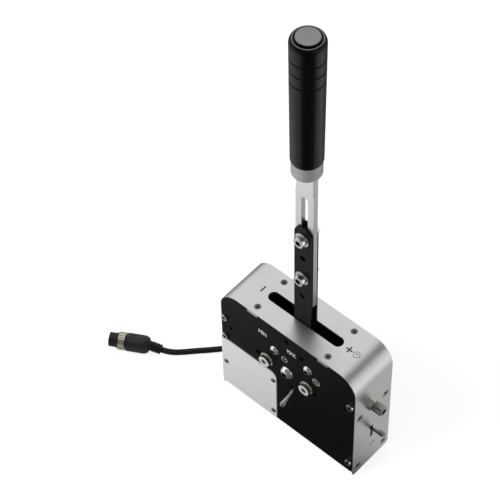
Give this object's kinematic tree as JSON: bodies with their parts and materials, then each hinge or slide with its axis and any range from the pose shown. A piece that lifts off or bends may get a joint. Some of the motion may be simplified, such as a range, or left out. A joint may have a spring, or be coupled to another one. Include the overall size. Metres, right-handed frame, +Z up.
{
  "type": "sim racing handbrake",
  "caption": "Upright lever with a height-adjustable grip in a bolt-down box, with angle stops, a resistance adjuster, switches and a cable plug.",
  "frame": {"origin": "middle of the box's underside, in the plane that stands on the table", "axes": "+X along the box towards the resistance adjuster, +Y from the front plate to the back plate, +Z up along the lever at rest"},
  "size_m": [0.2738, 0.0956, 0.4784],
  "materials": {
    "satin_shell": "satin bead-blasted",
    "black_plate": "fine matte black",
    "brushed_cover": "finely brushed",
    "block_alloy": "machined",
    "steel_screw": "bright plated",
    "dark_screw": "dark plated",
    "turned_steel": "turned",
    "pale_gold": "pale gold, turned",
    "nickel": "nickel plated",
    "grey_alloy": "satin grey",
    "machined_slider": "machined, dark anodised",
    "spring_steel": "drawn wire",
    "circuit_board": "solder mask",
    "brass_post": "turned",
    "switch_plastic": "moulded",
    "black_rubber": "matte",
    "plug_plastic": "moulded",
    "black_bar": "satin black",
    "magnet_grey": "nickel plated",
    "silver_post": "satin",
    "core_alloy": "turned",
    "grip_black": "satin black anodised",
    "disc_grey": "dark grey anodised"
  },
  "bodies": {
    "base": {"shell": "satin_shell", "front_plate": "black_plate", "back_plate": "black_plate", "base_plate": "black_plate", "front_cover": "brushed_cover", "upper_left_block": "block_alloy", "upper_right_block": "block_alloy", "lower_left_block": "block_alloy", "lower_right_block": "block_alloy", "front_left_top_block": "block_alloy", "front_right_top_block": "block_alloy", "back_left_top_block": "block_alloy", "back_right_top_block": "block_alloy", "countersunk_screws": "steel_screw", "plate_screws": "steel_screw", "cover_screws": "dark_screw", "pivot_shaft": "turned_steel", "pivot_screws": "steel_screw", "front_spacer": "turned_steel", "back_spacer": "turned_steel", "left_stop_ring": "pale_gold", "right_stop_ring": "pale_gold", "lock_screws": "steel_screw", "adjuster_nut": "nickel", "guide_rod": "turned_steel", "left_spring_seat": "machined_slider", "left_spring": "spring_steel", "right_spring": "spring_steel", "sensor_board": "circuit_board", "board_posts": "brass_post", "end_switch": "switch_plastic", "front_switch": "switch_plastic", "cable_gland": "black_rubber", "cord": "black_rubber", "strain_relief": "black_rubber", "plug_body": "plug_plastic", "plug_barrel": "plug_plastic"},
    "lever": {"front_lever_bar": "black_bar", "back_lever_bar": "black_bar", "rocker": "machined_slider", "lever_bush": "brass_post", "lever_rivets": "turned_steel", "drive_pin": "turned_steel", "magnet": "magnet_grey", "clamp_bolts": "steel_screw", "clamp_washers": "steel_screw", "clamp_nuts": "steel_screw"},
    "handle": {"post": "silver_post", "collar": "grey_alloy", "grip_core": "core_alloy", "grip_sleeve": "grip_black", "top_disc": "disc_grey"},
    "left_stop": {"left_stop": "steel_screw"},
    "right_stop": {"right_stop": "steel_screw"},
    "adjuster": {"adjuster_screw": "grey_alloy"},
    "carriage": {"carriage": "machined_slider"},
    "shuttle": {"shuttle": "machined_slider"},
    "end_switch_lever": {"end_switch_lever": "nickel"},
    "front_switch_lever": {"front_switch_lever": "nickel"},
    "plug_ring": {"plug_ring_nut": "nickel"}
  },
  "joints": [
    {"name": "lever_tilt", "type": "hinge", "parent": "base", "child": "lever", "pos_m": [0, 0, 0.087], "axis": [0, 1, 0], "range_deg": [-25, 25], "stiffness_Nm_per_rad": 16, "deforming": ["left_spring", "right_spring"]},
    {"name": "handle_height", "type": "slide", "parent": "lever", "child": "handle", "axis": [0, 0, 1], "range_m": [-0.04, 0.005]},
    {"name": "left_stop_turn", "type": "hinge", "parent": "base", "child": "left_stop", "pos_m": [-0.0224, 0, 0.087], "axis": [0, 1, 0], "range_deg": [-180, 0]},
    {"name": "right_stop_turn", "type": "hinge", "parent": "base", "child": "right_stop", "pos_m": [0.0224, 0, 0.087], "axis": [0, 1, 0], "range_deg": [0, 180]},
    {"name": "adjuster_turn", "type": "hinge", "parent": "base", "child": "adjuster", "pos_m": [0.079, -0.002, 0.0895], "axis": [1, 0, 0], "range_deg": [-540, 1080]},
    {"name": "carriage_slide", "type": "slide", "parent": "base", "child": "carriage", "axis": [1, 0, 0], "range_m": [-0.00605, 0.00305]},
    {"name": "shuttle_slide", "type": "slide", "parent": "base", "child": "shuttle", "axis": [1, 0, 0], "range_m": [-0.016, 0.016]},
    {"name": "end_switch_throw", "type": "hinge", "parent": "base", "child": "end_switch_lever", "pos_m": [0.0663, 0, 0.045], "axis": [0, 1, 0], "range_deg": [0, 38]},
    {"name": "front_switch_throw", "type": "hinge", "parent": "base", "child": "front_switch_lever", "pos_m": [0.0055, -0.018, 0.0666], "axis": [1, 0, 0], "range_deg": [-58, 0]},
    {"name": "plug_ring_turn", "type": "hinge", "parent": "base", "child": "plug_ring", "pos_m": [-0.149, -0.0436, 0.0085], "axis": [-0.866, -0.5, 0], "continuous": true}
  ],
  "couplings": [
    {"joint": "carriage_slide", "follows": "adjuster_turn", "m_per_rad": -0.00031831},
    {"joint": "shuttle_slide", "follows": "lever_tilt", "m_per_rad": -0.03584}
  ]
}
